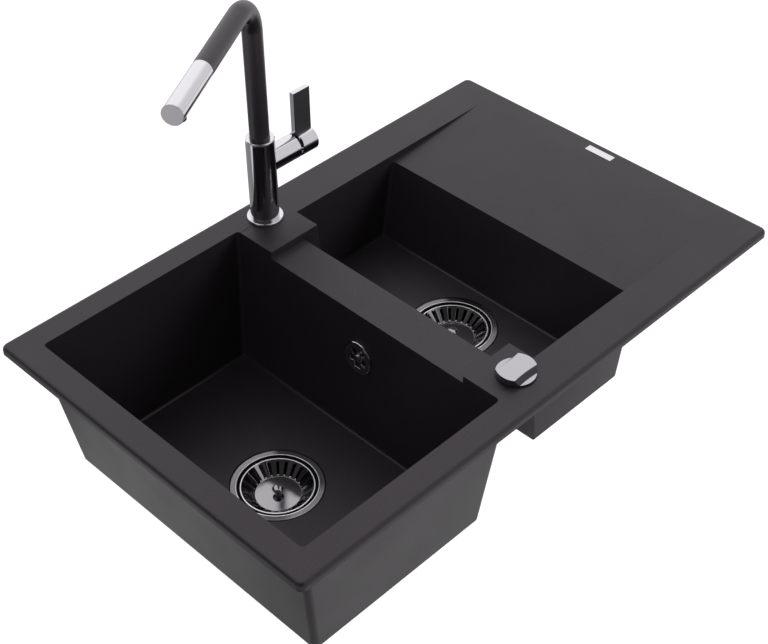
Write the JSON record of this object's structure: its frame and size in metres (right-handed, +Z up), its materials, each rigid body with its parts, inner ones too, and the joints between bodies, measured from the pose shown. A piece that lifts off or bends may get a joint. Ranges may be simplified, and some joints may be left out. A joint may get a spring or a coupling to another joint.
{
  "type": "one and a half bowl kitchen sink",
  "caption": "Inset sink of dark stone composite: a large bowl, a small bowl and a drainer, with basket wastes, a pop-up knob and a lever mixer tap with pull-out spray.",
  "frame": {"origin": "centre of the rim's outline, at the level of its underside, which lies on the worktop", "axes": "+X along the sink's length, towards the drainer; +Y to the back, where the tap stands; +Z up"},
  "size_m": [0.78, 0.4964, 0.72],
  "materials": {
    "composite": "moulded stone composite, fine matt grain",
    "bare_plate": "polished",
    "seal_foam": "closed-cell foam strip",
    "clip_steel": "zinc-plated",
    "tap_chrome": "polished",
    "tap_brass": "machined",
    "tap_black": "black satin coating",
    "rubber": "moulded",
    "washer_steel": "stainless",
    "end_cap": "satin",
    "nozzle_black": "moulded",
    "hose_steel": "braided",
    "inner_plastic": "moulded",
    "knob_chrome": "polished",
    "waste_steel": "stainless, pressed",
    "cable_black": "plastic sheath",
    "waste_plastic": "white moulded",
    "nut_plastic": "white moulded"
  },
  "bodies": {
    "sink": {"basin": "composite", "badge_plate": "bare_plate", "rim_seal": "seal_foam", "clip_brackets": "clip_steel", "clip_screws": "clip_steel", "tap_base_ring": "tap_chrome", "tap_body": "tap_chrome", "tap_top_ring": "tap_chrome", "tap_shank": "tap_brass", "shank_nut": "tap_brass", "cartridge_nut": "tap_brass", "tap_base_gasket": "rubber", "shank_gasket": "rubber", "flange_gaskets": "rubber", "body_gaskets": "rubber", "overflow_gasket": "rubber", "shank_washer": "washer_steel", "clamp_bolts": "washer_steel", "spout_bush": "inner_plastic", "cartridge": "inner_plastic", "knob_housing": "inner_plastic", "knob_cover": "inner_plastic", "knob_nut": "inner_plastic", "overflow_cover": "knob_chrome", "overflow_screw": "knob_chrome", "waste_flanges": "waste_steel", "popup_cable": "cable_black", "waste_body_big": "waste_plastic", "waste_body_small": "waste_plastic", "down_pipe": "waste_plastic", "cross_pipe": "waste_plastic", "tee": "waste_plastic", "trap_head": "waste_plastic", "trap_cup": "waste_plastic", "outlet_pipe": "waste_plastic", "overflow_elbow": "waste_plastic", "overflow_pipe": "waste_plastic", "union_nuts": "nut_plastic"},
    "spout": {"spout_tube": "tap_black", "spout_clip": "washer_steel", "spray_dock": "inner_plastic"},
    "spray": {"spray_head": "tap_chrome", "spray_end_cap": "end_cap", "spray_nozzle": "nozzle_black", "spray_hose": "hose_steel"},
    "mixer_carrier": {"lever_carrier": "inner_plastic", "lever_pin": "washer_steel"},
    "lever": {"lever_stem": "tap_brass", "lever_collar": "tap_chrome", "lever_cap": "tap_chrome", "lever_blade": "tap_chrome", "lever_face": "tap_black", "lever_grub_screw": "washer_steel"},
    "knob": {"waste_knob": "knob_chrome", "knob_spindle": "washer_steel"},
    "pop_up": {"lift_rod": "washer_steel"},
    "large_basket": {"basket_big": "waste_steel", "basket_plug_big": "rubber"},
    "small_basket": {"basket_small": "waste_steel", "basket_plug_small": "rubber"}
  },
  "joints": [
    {"name": "spout_swivel", "type": "hinge", "parent": "sink", "child": "spout", "pos_m": [-0.0212, 0.21125, 0.12], "axis": [0, 0, 1], "range_deg": [-60, 180]},
    {"name": "spray_pull", "type": "slide", "parent": "spout", "child": "spray", "axis": [-0.866, -0.5, 0], "range_m": [0, 0.07]},
    {"name": "lever_turn", "type": "hinge", "parent": "sink", "child": "mixer_carrier", "pos_m": [0.0108, 0.21125, 0.0895], "axis": [1, 0, 0], "range_deg": [-50, 50]},
    {"name": "lever_tilt", "type": "hinge", "parent": "mixer_carrier", "child": "lever", "pos_m": [0.0208, 0.21125, 0.0895], "axis": [0, 1, 0], "range_deg": [0, 15]},
    {"name": "knob_turn", "type": "hinge", "parent": "sink", "child": "knob", "pos_m": [-0.0206, -0.19765, 0.005], "axis": [0, 0, 1], "range_deg": [0, 90]},
    {"name": "pop_up_lift", "type": "slide", "parent": "sink", "child": "pop_up", "axis": [0, 0, 1], "range_m": [0, 0.008]},
    {"name": "large_basket_lift", "type": "slide", "parent": "pop_up", "child": "large_basket", "axis": [0, 0, 1], "range_m": [0, 0.04]},
    {"name": "small_basket_lift", "type": "slide", "parent": "sink", "child": "small_basket", "axis": [0, 0, 1], "range_m": [0, 0.04]}
  ],
  "couplings": [
    {"joint": "pop_up_lift", "follows": "knob_turn", "m_per_rad": 0.0050929}
  ]
}
